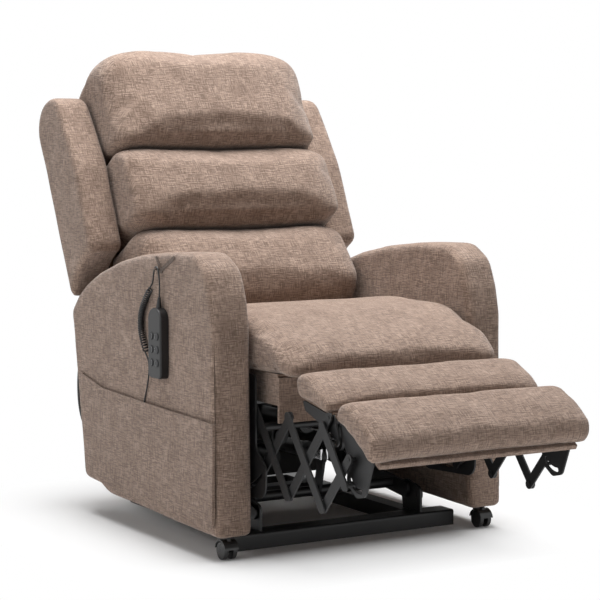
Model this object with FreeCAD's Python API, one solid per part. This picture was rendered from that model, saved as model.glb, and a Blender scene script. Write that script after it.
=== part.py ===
import FreeCAD, Part
import math
import os

# Lift recliner chair, millimetres, +Z up, chair front towards -Y, sitter's right towards -X.
# The origin is on the floor, in the middle of the floor frame.
# The pose is the one in use: back leaning a little, legrest part way out, seat down.

Vector = FreeCAD.Vector
across = Vector(1, 0, 0)

# Arms
half_width = 380.0
arm_thickness = 92.0
arm_top = 658.0
arm_front = -390.0
arm_edge_round = 15.0
arm_inner = half_width - arm_thickness

# Seat
seat_side_gap = 17.0
seat_half_width = arm_inner - seat_side_gap
seat_underside = 406.0
seat_top = 519.0
seat_front = -533.0
seat_rear = 46.0
seat_board_thickness = 8.0
rail_thickness = 31.0
rail_height = 60.0
cross_rail_depth = 25.0
frame_front = -430.0
frame_rear = 40.0
apron_thickness = 7.0
apron_drop = 106.0

# Back
recline_at_rest = 25.9
back_pivot_drop = 6.0
back_pivot = (130.0, seat_underside - back_pivot_drop)
wing_overlap = 2.0
wing_inner = arm_inner + wing_overlap
wing_rear = -157.0
wing_front = 17.0
wing_top = 706.0
wing_edge_round = 15.0
panel_thickness = 18.0
back_tube = 25.0
frame_depth = 34.0
cushion_back = -105.0
panel_low = 216.0
panel_high = 696.0
head_crease = 508.0
mid_crease = 290.0
head_top = 783.0
head_side_gap = 9.0
mid_side_gap = 3.0
lumbar_side_gap = 12.0

# Side mechanism, from the arm inwards
plate_thickness = 4.0
plate_arm_gap = 9.0
plate_play = 1.0
link_gap = 2.0
plate_inner = arm_inner - plate_arm_gap - plate_thickness
drop_layer = plate_inner - link_gap - plate_thickness
rise_layer = drop_layer - link_gap - plate_thickness
bridge_bracket_layer = rise_layer - 2 * plate_thickness
footrest_bracket_layer = bridge_bracket_layer - 2 * plate_thickness
rail_gap = 25.0
rail_outer = plate_inner - rail_gap
upright_outer = plate_inner + plate_thickness + plate_play
link_width = 22.0
rivet_radius = 4.0
rivet_play = 0.05
rivet_head = 7.0
slot_play = 1.0

# Legrest lazy tongs: pivot on the side plate, half link, slopes at rest and how far they turn
tong_pivot_drop = 79.0
tong_pivot = (-369.7, seat_underside - tong_pivot_drop)
half_link = 109.9
rise_slope = 49.9
drop_slope = -51.5
legrest_out = 25.2
legrest_in = 62.9
rise_share = 0.2956
pad_reach = 41.1
control_reach = 30.0
bridge_reach = 26.8
bridge_control = 28.0
drive_tube_reach = 48.0
drive_tube_radius = 9.0

# Legrest pads
pad_side_gap = 18.0
pad_half_width = arm_inner - pad_side_gap
board_thickness = 12.0

# Floor frame and lift linkage
floor_half_width = 300.0
floor_beam_depth = 60.0
floor_beam_height = 36.0
floor_front = -310.0
floor_rear = 330.0
floor_rail_width = 40.0
lift_base_pivot = (-239.5, 84.2)
lift_seat_pivot = (150.1, 130.0)
front_base_pivot = (-274.8, 75.0)
front_seat_pivot = (-60.0, 95.0)
lift_angle = 42.0
lift_arm_height = 38.0
lift_arm_thickness = 8.0
base_plate_thickness = 6.0
base_plate_layer = rail_outer - rail_thickness - base_plate_thickness
lift_arm_layer = base_plate_layer - link_gap - lift_arm_thickness
front_link_layer = base_plate_layer + base_plate_thickness + link_gap
front_link_thickness = 5.0
floor_rail_outer = base_plate_layer + 22.0
lift_pin_radius = 8.0
lift_pin_play = 0.05
lift_pin_slack = 0.8

# Actuators
rod_radius = 10.0
tube_radius = 18.0
drive_pin_radius = 6.0
drive_slack = 0.6
lug_thickness = 8.0
lug_margin = 9.0
fork_depth = 42.0
cheek_thickness = 5.0
motor_radius = 23.0
legrest_actuator_x = -72.0
legrest_lever = 65.0
legrest_lug_slope = -74.0
legrest_rate = 1.3
legrest_housing = (-258.0, -51.0)
legrest_rod_end = -150.0
back_actuator_x = 72.0
back_lever = 100.0
back_lug_lean = 10.5
back_rate = 1.8
back_housing = (30.0, -170.0)
back_rod_end = -94.0
lift_lever = 95.0
lift_lug_lean = 21.0
lift_rate = 1.7
lift_housing = (-145.0, 110.0)
lift_rod_end = 10.0
lift_cross_reach = 55.0
lift_cross_radius = 12.0
back_in = 12.0
back_out = 33.0

# Casters
caster_inset = 40.0
caster_place = (half_width - caster_inset, -353.0)
caster_wheel_radius = 20.0
caster_trail = 12.0
caster_stem_radius = 5.0
caster_stem_play = 0.08

# Handset
handset_low = 375.0
handset_high = 533.0
handset_middle = -140.0
handset_width = 62.0
handset_thickness = 21.0
button_travel = 1.2
button_proud = 1.8
button_play = 0.3
button_radius = 9.0
button_columns = (-153.0, -127.0)
button_rows = (410.0, 440.0, 470.0)

# Cords
cord_radius = 1.85
cord_standoff = 8.5
cord_layer = -half_width - cord_standoff
coil_radius = 7.7
lead_radius = 4.0


def polar(origin, reach, degrees):
    """Point at a reach and slope from origin; slopes rise from straight ahead, which is -Y."""
    turn = math.radians(degrees)
    return (origin[0] - reach * math.cos(turn), origin[1] + reach * math.sin(turn))


def along(start, end, share):
    return (start[0] + share * (end[0] - start[0]), start[1] + share * (end[1] - start[1]))


def distance(a, b):
    return math.hypot(b[0] - a[0], b[1] - a[1])


def turned(spot, centre, degrees):
    """Turn a side-view point about centre; positive turns the rear upwards, +Y to +Z."""
    turn = math.radians(degrees)
    y = spot[0] - centre[0]
    z = spot[1] - centre[1]
    return (centre[0] + y * math.cos(turn) - z * math.sin(turn),
            centre[1] + y * math.sin(turn) + z * math.cos(turn))


def at(x, spot):
    return Vector(x, spot[0], spot[1])


def about(spot, rows):
    """Side-view rows, each an offset from spot with an optional radius after it."""
    return [(spot[0] + row[0], spot[1] + row[1]) + tuple(row[2:]) for row in rows]


def box(low, high):
    size = [high[i] - low[i] for i in range(3)]
    return Part.makeBox(size[0], size[1], size[2], Vector(*low))


def cylinder(radius, start, end):
    way = end - start
    return Part.makeCylinder(radius, way.Length, start, way)


def cross_pin(radius, x_from, x_to, spot):
    return cylinder(radius, at(min(x_from, x_to), spot), at(max(x_from, x_to), spot))


def mirrored(shape):
    return shape.mirror(Vector(0, 0, 0), across)


def both_sides(shape):
    return Part.makeCompound([shape, mirrored(shape)])


def rounded_wire(x, corners):
    """Closed side-view outline at x; each corner is (y, z, radius)."""
    count = len(corners)
    ends = []
    for i in range(count):
        before = Vector(0, *corners[i - 1][:2])
        here = Vector(0, *corners[i][:2])
        after = Vector(0, *corners[(i + 1) % count][:2])
        radius = corners[i][2]
        back = (before - here).normalize()
        on = (after - here).normalize()
        if radius <= 0:
            ends.append((here, None, here))
            continue
        half = back.getAngle(on) / 2
        reach = radius / math.tan(half)
        middle = (back + on).normalize()
        centre = here + middle * (radius / math.sin(half))
        ends.append((here + back * reach, centre - middle * radius, here + on * reach))
    edges = []
    place = Vector(x, 0, 0)
    for i in range(count):
        start, bend, end = ends[i]
        if bend is not None:
            edges.append(Part.Arc(start + place, bend + place, end + place).toShape())
        following = ends[(i + 1) % count][0]
        if (following - end).Length > 1e-6:
            edges.append(Part.LineSegment(end + place, following + place).toShape())
    return Part.Wire(edges)


def side_panel(corners, x_from, x_to):
    face = Part.Face(rounded_wire(x_from, corners))
    return face.extrude(Vector(x_to - x_from, 0, 0))


def rim_edges(shape, places):
    """Edges of a side panel that lie in the planes x = places."""
    chosen = []
    for edge in shape.Edges:
        box_of = edge.BoundBox
        for place in places:
            if abs(box_of.XMin - place) < 1e-4 and abs(box_of.XMax - place) < 1e-4:
                chosen.append(edge)
    return chosen


def soft_panel(corners, x_from, x_to, edge_round):
    shape = side_panel(corners, x_from, x_to)
    return shape.makeFillet(edge_round, rim_edges(shape, (x_from, x_to)))


def scaled_corners(corners, core, share):
    return [(core[0] + share * (y - core[0]), core[1] + share * (z - core[1]), radius * share)
            for y, z, radius in corners]


def cushion(corners, core, half, end_share=0.55, squareness=7.0, stations=11):
    """Crowned pad: the side outline is drawn in towards core at both ends."""
    wires = []
    for i in range(stations):
        turn = math.pi * (i / (stations - 1) - 0.5)
        reach = abs(math.sin(turn)) ** (2 / squareness)
        crown = max(math.cos(turn), 0.0) ** (2 / squareness)
        x = math.copysign(half * reach, turn) if i * 2 != stations - 1 else 0.0
        share = end_share + (1 - end_share) * crown
        wires.append(rounded_wire(x, scaled_corners(corners, core, share)))
    return Part.makeLoft(wires, True, False)


def bar(start, end, width, x_from, x_to, holes=()):
    """Flat link with round ends between two side-view points."""
    length = distance(start, end)
    slope = math.degrees(math.atan2(end[1] - start[1], end[0] - start[0]))
    radius = width / 2
    low = Vector(min(x_from, x_to), 0, -radius)
    top = Vector(min(x_from, x_to), 0, radius)
    far = Vector(0, length, 0)
    edges = [
        Part.LineSegment(low, low + far).toShape(),
        Part.Arc(low + far, Vector(low.x, length + radius, 0), top + far).toShape(),
        Part.LineSegment(top + far, top).toShape(),
        Part.Arc(top, Vector(low.x, -radius, 0), low).toShape(),
    ]
    shape = Part.Face(Part.Wire(edges)).extrude(Vector(abs(x_to - x_from), 0, 0))
    shape.rotate(Vector(0, 0, 0), across, slope)
    shape.translate(Vector(0, start[0], start[1]))
    for spot, hole_radius in holes:
        shape = shape.cut(cross_pin(hole_radius, x_from - 1, x_to + 1, spot))
    return shape


def arc_slot(spots, radius, x_from, x_to):
    """Cutter whose middle line is the arc through three side-view points."""
    middle = Part.Arc(at(x_from, spots[0]), at(x_from, spots[1]), at(x_from, spots[2]))
    centre = middle.toShape().Curve.Center
    outer = []
    inner = []
    for spot in spots:
        way = (at(x_from, spot) - centre).normalize()
        outer.append(at(x_from, spot) + way * radius)
        inner.append(at(x_from, spot) - way * radius)
    first = at(x_from, spots[0])
    last = at(x_from, spots[2])
    start_way = across.cross(first - centre).normalize()
    if start_way.dot(at(x_from, spots[1]) - first) > 0:
        start_way = start_way * -1
    end_way = across.cross(last - centre).normalize()
    if end_way.dot(at(x_from, spots[1]) - last) > 0:
        end_way = end_way * -1
    edges = [
        Part.Arc(outer[0], outer[1], outer[2]).toShape(),
        Part.Arc(outer[2], last + end_way * radius, inner[2]).toShape(),
        Part.Arc(inner[2], inner[1], inner[0]).toShape(),
        Part.Arc(inner[0], first + start_way * radius, outer[0]).toShape(),
    ]
    return Part.Face(Part.Wire(edges)).extrude(Vector(x_to - x_from, 0, 0))


def fused(first, *others):
    shape = first
    for other in others:
        shape = shape.fuse(other)
    return shape.removeSplitter()


def in_back(n, s):
    """Side-view point of the back: n towards the sitter and s up the back, from the pivot."""
    lean = math.radians(recline_at_rest)
    return (back_pivot[0] + s * math.sin(lean) - n * math.cos(lean),
            back_pivot[1] + s * math.cos(lean) + n * math.sin(lean))


def back_corners(rows):
    return [in_back(n, s) + (radius,) for n, s, radius in rows]


# Legrest kinematics

def tong_points(turn=0.0):
    """Pivots of the lazy tongs when the legrest has turned out by this many degrees."""
    drop = drop_slope + turn
    rise = rise_slope + rise_share * turn
    first_cross = polar(tong_pivot, half_link, drop)
    first_low = polar(tong_pivot, 2 * half_link, drop)
    second_cross = polar(first_low, half_link, rise)
    second_high = polar(first_low, 2 * half_link, rise)
    second_low = polar(second_cross, half_link, drop)
    third_cross = polar(second_low, half_link, rise)
    return {
        "rear_tail": polar(first_cross, -half_link, rise),
        "first_cross": first_cross,
        "first_high": polar(first_cross, half_link, rise),
        "first_low": first_low,
        "second_cross": second_cross,
        "second_high": second_high,
        "second_low": second_low,
        "third_cross": third_cross,
        "bridge_pivot": polar(second_high, bridge_reach, rise),
        "bridge_control": polar(second_high, bridge_control, drop),
        "pad_pivot": polar(third_cross, pad_reach, rise),
        "pad_control": polar(third_cross, control_reach, drop),
    }


rest = tong_points()


def parallel_slot(pivot_name, control_name, x_from, x_to):
    """Slot of a bracket that stays parallel to the drop links, seen from its own pivot."""
    spots = []
    for turn in (-legrest_in, (legrest_out - legrest_in) / 2, legrest_out):
        now = tong_points(turn)
        y = now[control_name][0] - now[pivot_name][0]
        z = now[control_name][1] - now[pivot_name][1]
        seen = turned((y, z), (0, 0), turn)
        spots.append((rest[pivot_name][0] + seen[0], rest[pivot_name][1] + seen[1]))
    return arc_slot(spots, rivet_radius + slot_play, x_from, x_to)


def link(start, end, layer, rivets=(), holes=()):
    """One tong link in its layer; a rivet stands inwards from it, a hole takes a rivet."""
    shape = bar(start, end, link_width, layer, layer + plate_thickness,
                [(spot, rivet_radius + rivet_play) for spot in holes])
    for spot, x_from, x_to in rivets:
        shape = shape.fuse(cross_pin(rivet_radius, x_from, x_to, spot))
    return shape.removeSplitter()


def rivet_to_inner(spot):
    """Rivet from a drop link through the rise link, with its head on the inner side."""
    return (spot, rise_layer - plate_play, drop_layer + 1)


def drop_link(start, end, joined):
    shape = link(start, end, drop_layer, [rivet_to_inner(spot) for spot in joined])
    for spot in joined:
        head = cross_pin(rivet_head, rise_layer - plate_play - 2, rise_layer - plate_play, spot)
        shape = shape.fuse(head)
    return shape


def rise_link(start, end, joined):
    return link(start, end, rise_layer, holes=joined)


def make_tongs(nodes):
    rear_drop = drop_link(tong_pivot, rest["first_low"], [rest["first_cross"], rest["first_low"]])
    pivot_pin = cross_pin(rivet_radius, drop_layer + 1, plate_inner + plate_thickness + 1, tong_pivot)
    nodes["rear_drop_links"] = both_sides(rear_drop.fuse(pivot_pin))
    tail_pin = cross_pin(rivet_radius, rise_layer + 1, plate_inner + plate_thickness + 1, rest["rear_tail"])
    rear_rise = rise_link(rest["rear_tail"], rest["first_high"], [rest["first_cross"], rest["first_high"]])
    nodes["rear_rise_links"] = both_sides(rear_rise.fuse(tail_pin))
    nodes["middle_rise_links"] = both_sides(rise_link(
        rest["first_low"], rest["bridge_pivot"],
        [rest["first_low"], rest["second_cross"], rest["second_high"], rest["bridge_pivot"]]))
    nodes["middle_drop_links"] = both_sides(drop_link(
        rest["first_high"], rest["second_low"],
        [rest["first_high"], rest["second_cross"], rest["second_low"]]))
    nodes["front_rise_links"] = both_sides(rise_link(
        rest["second_low"], rest["pad_pivot"],
        [rest["second_low"], rest["third_cross"], rest["pad_pivot"]]))
    front_drop = drop_link(rest["second_high"], rest["pad_control"],
                           [rest["second_high"], rest["third_cross"]])
    for name, layer in (("pad_control", footrest_bracket_layer), ("bridge_control", bridge_bracket_layer)):
        front_drop = front_drop.fuse(cross_pin(rivet_radius, layer - 1, drop_layer + 1, rest[name]))
    nodes["front_drop_links"] = both_sides(front_drop)


# Drive pins: each runs level while its lever swings, so the lug has a slot that takes up the difference

def legrest_pin(turn):
    """Pin of the legrest actuator when the legrest has turned out by this many degrees."""
    start = tong_pivot[0] - legrest_lever / math.tan(math.radians(-legrest_lug_slope))
    return (start - legrest_rate * turn, tong_pivot[1] - legrest_lever)


def back_pin(turn):
    """Pin of the back actuator when the back has reclined by this many degrees."""
    start = back_pivot[0] + back_lever * math.tan(math.radians(back_lug_lean))
    return (start - back_rate * turn, back_pivot[1] - back_lever)


def lift_pin(turn):
    """Pin of the lift actuator when the lift arms have risen by this many degrees."""
    start = lift_base_pivot[0] + lift_lever * math.tan(math.radians(lift_lug_lean))
    return (start - lift_rate * turn, lift_base_pivot[1] + lift_lever)


def drive_slot(pin_at, pivot, sense, low, high):
    """Ends and half width of the straight lug slot that the pin needs over its whole travel."""
    steps = 24
    spots = []
    for i in range(steps + 1):
        turn = low + (high - low) * i / steps
        spots.append(turned(pin_at(turn), pivot, sense * turn))
    slopes = [math.atan2(spot[1] - pivot[1], spot[0] - pivot[0]) for spot in spots]
    middle = (min(slopes) + max(slopes)) / 2
    way = (math.cos(middle), math.sin(middle))
    reaches = [(spot[0] - pivot[0]) * way[0] + (spot[1] - pivot[1]) * way[1] for spot in spots]
    offs = [abs((spot[0] - pivot[0]) * way[1] - (spot[1] - pivot[1]) * way[0]) for spot in spots]
    start = (pivot[0] + min(reaches) * way[0], pivot[1] + min(reaches) * way[1])
    end = (pivot[0] + max(reaches) * way[0], pivot[1] + max(reaches) * way[1])
    return start, end, max(offs) + drive_pin_radius + drive_slack


def drive_lug(root, root_width, slot, x_middle):
    """Flat lug from a cross tube to the slot that the drive pin works in."""
    start, end, half = slot
    x_from = x_middle - lug_thickness / 2
    x_to = x_middle + lug_thickness / 2
    eye = bar(start, end, 2 * (half + lug_margin), x_from, x_to)
    stem = bar(root, start, root_width, x_from, x_to)
    return eye.fuse(stem).cut(bar(start, end, 2 * half, x_from - 1, x_to + 1))


def make_drive_tube(nodes):
    place = polar(tong_pivot, drive_tube_reach, drop_slope)
    tube = cross_pin(drive_tube_radius, -drop_layer, drop_layer, place)
    slot = drive_slot(legrest_pin, tong_pivot, 1, -legrest_in, legrest_out)
    lug = drive_lug(place, 2 * drive_tube_radius, slot, legrest_actuator_x)
    nodes["legrest_drive_tube"] = fused(tube, lug)


def rod_and_fork(pin, sense, x_middle, inner_end):
    """Push rod along Y with a fork that holds the drive pin; sense points from housing to pin."""
    y, z = pin
    half = lug_thickness / 2 + 1
    outer = half + cheek_thickness
    height = drive_pin_radius + 6
    web = cheek_thickness + 3
    ends = sorted((y + sense * height, y - sense * fork_depth))
    gap = sorted((y + sense * (height + 1), y - sense * (fork_depth - web)))
    fork = box((x_middle - outer, ends[0], z - height), (x_middle + outer, ends[1], z + height))
    fork = fork.cut(box((x_middle - half, gap[0], z - height - 1), (x_middle + half, gap[1], z + height + 1)))
    pin_shape = cross_pin(drive_pin_radius, x_middle - outer, x_middle + outer, pin)
    rod = cylinder(rod_radius, Vector(x_middle, y - sense * fork_depth, z), Vector(x_middle, inner_end, z))
    return fused(fork, pin_shape, rod)


def actuator(x_middle, z, front, rear):
    """Linear actuator along Y: outer tube from front to rear, gearbox, motor below it and rear eye."""
    sense = 1 if rear > front else -1
    gear_length = 56.0
    gear_half = motor_radius + 3
    motor_z = z - tube_radius - motor_radius - 2

    def on_axis(y, height=z):
        return Vector(x_middle, y, height)

    tube = cylinder(tube_radius, on_axis(front), on_axis(rear))
    collar = cylinder(tube_radius + 3, on_axis(front), on_axis(front + sense * 16))
    ends = sorted((rear, rear + sense * gear_length))
    gear = box((x_middle - gear_half, ends[0], motor_z - gear_half + 4),
               (x_middle + gear_half, ends[1], z + gear_half - 4))
    gear = gear.makeFillet(8, [e for e in gear.Edges if e.BoundBox.YLength > gear_length - 1])
    motor = cylinder(motor_radius, on_axis(rear + sense * 4, motor_z), on_axis(rear - sense * 84, motor_z))
    cap = cylinder(motor_radius - 6, on_axis(rear - sense * 84, motor_z), on_axis(rear - sense * 92, motor_z))
    eye = eye_place(rear, sense, z)
    block = sorted((eye[0], rear + sense * (gear_length - 2)))
    block = box((x_middle - 8, block[0], z - 11), (x_middle + 8, block[1], z + 11))
    shape = fused(tube, collar, gear, motor, cap, block, cross_pin(11, x_middle - 8, x_middle + 8, eye))
    shape = shape.cut(cross_pin(5.05, x_middle - 9, x_middle + 9, eye))
    bore = cylinder(rod_radius + 0.05, on_axis(front - sense), on_axis(rear - sense * 11))
    return shape.cut(bore)


def eye_place(rear, sense, z):
    return (rear + sense * 78.0, z)


def clevis_ears(x_middle, eye, low, high):
    """Two ears with their pin, which hold an actuator's rear eye between them."""
    ears = []
    for side in (-1, 1):
        ends = sorted((x_middle + side * 8.3, x_middle + side * 13.3))
        ears.append(box((ends[0], eye[0] - 13, low), (ends[1], eye[0] + 13, high)))
    return fused(ears[0], ears[1], cross_pin(5, x_middle - 15, x_middle + 15, eye))


def make_actuators(nodes):
    """Three motor drives with their push rods, and the ears that hold the two under the seat."""
    under_rails = seat_underside - seat_board_thickness - rail_height
    legrest_z = tong_pivot[1] - legrest_lever
    back_z = back_pivot[1] - back_lever
    nodes["legrest_actuator"] = actuator(legrest_actuator_x, legrest_z, *legrest_housing)
    nodes["legrest_rod"] = rod_and_fork(legrest_pin(0), -1, legrest_actuator_x, legrest_rod_end)
    nodes["back_actuator"] = actuator(back_actuator_x, back_z, *back_housing)
    nodes["back_rod"] = rod_and_fork(back_pin(0), 1, back_actuator_x, back_rod_end)
    lift_z = lift_base_pivot[1] + lift_lever
    nodes["lift_actuator"] = actuator(0, lift_z, *lift_housing)
    nodes["lift_rod"] = rod_and_fork(lift_pin(0), -1, 0, lift_rod_end)
    legrest_ears = clevis_ears(legrest_actuator_x, eye_place(legrest_housing[1], 1, legrest_z),
                               legrest_z - 13, under_rails)
    eye = eye_place(back_housing[1], -1, back_z)
    inner = rail_outer - rail_thickness
    crossbar = box((-inner, eye[0] - 14, under_rails), (inner, eye[0] + 14, under_rails + 20))
    back_ears = fused(crossbar, clevis_ears(back_actuator_x, eye, back_z - 13, under_rails))
    nodes["actuator_mounts"] = Part.makeCompound([back_ears, legrest_ears])


def make_floor_frame(nodes):
    """Welded floor frame: long front beam, two rails, rear beam, pivot plates and actuator post."""
    front_rear_face = floor_front + floor_beam_depth
    beam = box((-floor_half_width, floor_front, 0), (floor_half_width, front_rear_face, floor_beam_height))
    beam = beam.makeFillet(6, [e for e in beam.Edges if abs(e.BoundBox.ZMin - floor_beam_height) < 1e-6
                               and e.BoundBox.XLength > 1])
    rear_beam = box((-floor_rail_outer, floor_rear - floor_rail_width, 0),
                    (floor_rail_outer, floor_rear, floor_beam_height))
    shape = beam.fuse(rear_beam)
    for side in (-1, 1):
        ends = sorted((side * floor_rail_outer, side * (floor_rail_outer - floor_rail_width)))
        shape = shape.fuse(box((ends[0], front_rear_face - 1, 0),
                               (ends[1], floor_rear - floor_rail_width + 1, floor_beam_height)))
        plate = side_panel([
            (front_base_pivot[0] - 22, floor_beam_height - 2, 0),
            (front_base_pivot[0] - 22, front_base_pivot[1] + 18, 16),
            (lift_base_pivot[0] + 6, lift_base_pivot[1] + 24, 16),
            (lift_base_pivot[0] + 24, lift_base_pivot[1] + 2, 14),
            (front_rear_face + 24, floor_beam_height - 2, 0),
        ], base_plate_layer, base_plate_layer + base_plate_thickness)
        for spot in (front_base_pivot, lift_base_pivot):
            plate = plate.cut(cross_pin(lift_pin_radius + lift_pin_play, base_plate_layer - 1,
                                        base_plate_layer + base_plate_thickness + 1, spot))
        shape = shape.fuse(plate if side > 0 else mirrored(plate))
    lift_z = lift_base_pivot[1] + lift_lever
    eye = eye_place(lift_housing[1], 1, lift_z)
    inner = floor_rail_outer - floor_rail_width + 1
    beam = box((-inner, eye[0] - 20, 0), (inner, eye[0] + 20, floor_beam_height))
    shape = shape.fuse(beam).fuse(clevis_ears(0, eye, floor_beam_height - 2, lift_z + 13))
    nodes["floor_frame"] = shape.removeSplitter()


def make_lift(nodes):
    """Lift arms, their cross tube, the front lift links and the hangers under the seat."""
    arm_end = lift_arm_layer + lift_arm_thickness
    plate_end = base_plate_layer + base_plate_thickness
    arm = bar(lift_base_pivot, lift_seat_pivot, lift_arm_height, lift_arm_layer, arm_end)
    for spot in (lift_base_pivot, lift_seat_pivot):
        arm = arm.fuse(cross_pin(lift_pin_radius, arm_end - 1, plate_end, spot))
    arm = arm.removeSplitter()
    nodes["lift_arms"] = both_sides(arm)
    place = along(lift_base_pivot, lift_seat_pivot, lift_cross_reach / distance(lift_base_pivot, lift_seat_pivot))
    tube = cross_pin(lift_cross_radius, -lift_arm_layer, lift_arm_layer, place)
    slot = drive_slot(lift_pin, lift_base_pivot, -1, 0, lift_angle)
    nodes["lift_cross_tube"] = fused(tube, drive_lug(place, 2 * lift_cross_radius, slot, 0))
    front_end = front_link_layer + front_link_thickness
    link_shape = bar(front_base_pivot, front_seat_pivot, 30, front_link_layer, front_end)
    for spot in (front_base_pivot, front_seat_pivot):
        link_shape = link_shape.fuse(cross_pin(lift_pin_radius, base_plate_layer - 1, front_link_layer + 1, spot))
    nodes["front_lift_links"] = both_sides(link_shape.removeSplitter())
    hanger = side_panel([
        (front_seat_pivot[0] - 60, seat_underside - 10, 0),
        (frame_rear, seat_underside - 10, 0),
        (lift_seat_pivot[0] + 24, lift_seat_pivot[1] + 60, 60),
        (lift_seat_pivot[0] + 24, lift_seat_pivot[1] - 24, 22),
        (front_seat_pivot[0] + 10, front_seat_pivot[1] - 20, 20),
        (front_seat_pivot[0] - 26, front_seat_pivot[1] - 16, 18),
    ], base_plate_layer, plate_end)
    window = side_panel([
        (front_seat_pivot[0] + 4, seat_underside - 90, 20),
        (frame_rear - 6, seat_underside - 90, 20),
        (lift_seat_pivot[0] - 20, lift_seat_pivot[1] + 50, 30),
        (front_seat_pivot[0] + 24, front_seat_pivot[1] + 50, 30),
    ], base_plate_layer - 1, plate_end + 1)
    hanger = hanger.cut(window)
    hanger = hanger.cut(cross_pin(lift_pin_radius + lift_pin_play, base_plate_layer - 1, plate_end + 1,
                                  lift_seat_pivot))
    hanger = hanger.cut(cross_pin(lift_pin_radius + lift_pin_slack, base_plate_layer - 1, plate_end + 1,
                                  front_seat_pivot))
    nodes["lift_hangers"] = both_sides(hanger)


def make_seat(nodes):
    low = seat_underside - seat_board_thickness - rail_height
    high = seat_underside - seat_board_thickness
    inner = rail_outer - rail_thickness
    nodes["side_seat_rails"] = both_sides(box((inner, frame_front, low), (rail_outer, frame_rear, high)))
    front_rail = box((-inner, frame_front, low), (inner, frame_front + cross_rail_depth, high))
    rear_half = base_plate_layer
    rear_rail = box((-rear_half, frame_rear - cross_rail_depth, low), (rear_half, frame_rear, high))
    nodes["cross_seat_rails"] = Part.makeCompound([front_rail, rear_rail])
    nodes["seat_board"] = box((-rail_outer, frame_front, high), (rail_outer, frame_rear, seat_underside))
    nodes["seat_apron"] = box((-rail_outer, frame_front - apron_thickness, seat_underside - apron_drop),
                              (rail_outer, frame_front, high))
    nodes["control_box"] = rounded_box((-90, -120, high - 46), (90, 10, high), 5)
    corners = [
        (seat_rear, seat_underside, 2), (seat_rear, seat_top - 22, 30), (-150, seat_top + 3, 300),
        (-330, seat_top, 90), (-470, seat_top - 51, 70), (seat_front, seat_underside + 19, 18),
        (seat_front + 8, seat_underside, 3),
    ]
    core = (-200, seat_underside)
    nodes["seat_cushion"] = cushion(corners, core, seat_half_width, end_share=0.8, squareness=9)


def rounded_box(low, high, radius):
    shape = box(low, high)
    return shape.makeFillet(radius, shape.Edges)


def make_side_plates(nodes):
    """Side plates that carry the tongs and the back, and the spacers that join them to seat and arms."""
    plate_end = plate_inner + plate_thickness
    turns = (-legrest_in, (legrest_out - legrest_in) / 2, legrest_out)
    tails = [tong_points(turn)["rear_tail"] for turn in turns]
    top = seat_underside - 4
    plate = side_panel([
        (arm_front + 6, top, 12),
        (back_pivot[0] - 20, top, 0),
        (back_pivot[0] - 20, back_pivot[1] - 24, 0),
        (back_pivot[0] - 50, back_pivot[1] - 24, 10),
        (back_pivot[0] - 70, back_pivot[1] - 70, 40),
    ] + about(tong_pivot, [
        (189.7, -27, 60), (164.7, -177, 30), (134.7, -202, 30), (-55.3, -192, 30), (-60.3, -122, 24),
        (-14.3, -87, 20),
    ]), plate_inner, plate_end)
    plate = plate.fuse(cross_pin(28, plate_inner, plate_end, back_pivot))
    plate = plate.cut(cross_pin(lift_pin_radius + lift_pin_play, plate_inner - 1, plate_end + 1, back_pivot))
    plate = plate.cut(cross_pin(rivet_radius + rivet_play, plate_inner - 1, plate_end + 1, tong_pivot))
    plate = plate.cut(arc_slot(tails, rivet_radius + slot_play, plate_inner - 1, plate_end + 1))
    nodes["side_plates"] = both_sides(plate.removeSplitter())
    middle = seat_underside - seat_board_thickness - rail_height / 2
    spacers = [cross_pin(11, rail_outer, plate_inner, spot) for spot in [(-250, middle), (-20, middle)]]
    spacers += [cross_pin(13, plate_end, arm_inner, (y, seat_underside - drop))
                for y, drop in ((-320, 26), (-330, 156), (30, 31))]
    nodes["mechanism_spacers"] = Part.makeCompound(spacers + [mirrored(spacer) for spacer in spacers])


def board_between(rear_low, front_low, half):
    """Board with its underside between two points; also gives its top corners."""
    length = distance(rear_low, front_low)
    up = ((rear_low[1] - front_low[1]) / length, (rear_low[0] - front_low[0]) / length)
    up = (-board_thickness * up[0], board_thickness * up[1])
    rear_high = (rear_low[0] + up[0], rear_low[1] + up[1])
    front_high = (front_low[0] + up[0], front_low[1] + up[1])
    corners = [spot + (3,) for spot in (rear_low, rear_high, front_high, front_low)]
    return side_panel(corners, -half, half), rear_high, front_high


def make_bridge(nodes):
    """Bridging pad, its board and the two brackets that carry it."""
    pivot = rest["bridge_pivot"]
    layer = bridge_bracket_layer
    rear_low, front_low = about(pivot, [(111.6, 18.4), (3.6, -1.1)])
    board, rear_high, front_high = board_between(rear_low, front_low, layer)
    nodes["bridge_board"] = board
    pad_corners = [rear_high + (2,)] + about(pivot, [
        (122.4, 51.4, 12), (120.4, 79.4, 14), (85.4, 79.4, 40), (25.4, 51.4, 80), (-8.6, 26.4, 8),
        (-4.6, 13.4, 4),
    ]) + [front_high + (0,)]
    nodes["bridge_pad"] = cushion(pad_corners, along(rear_high, front_high, 0.5), pad_half_width,
                                  end_share=0.7, squareness=9)
    bracket = side_panel(about(pivot, [
        (115.4, 22.4, 3), (1.4, 2.4, 0), (-6.6, 8.4, 4), (-12.6, -3.6, 8), (-28.6, -41.6, 14), (-24.6, -59.6, 14),
        (10.4, -59.6, 16), (25.4, -25.6, 20), (105.4, 1.4, 12),
    ]), layer, layer + plate_thickness)
    bracket = bracket.fuse(cross_pin(rivet_radius, layer + 1, rise_layer + plate_thickness + 1, pivot))
    bracket = bracket.cut(parallel_slot("bridge_pivot", "bridge_control", layer - 1, layer + plate_thickness + 1))
    nodes["bridge_brackets"] = both_sides(bracket.removeSplitter())


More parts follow.
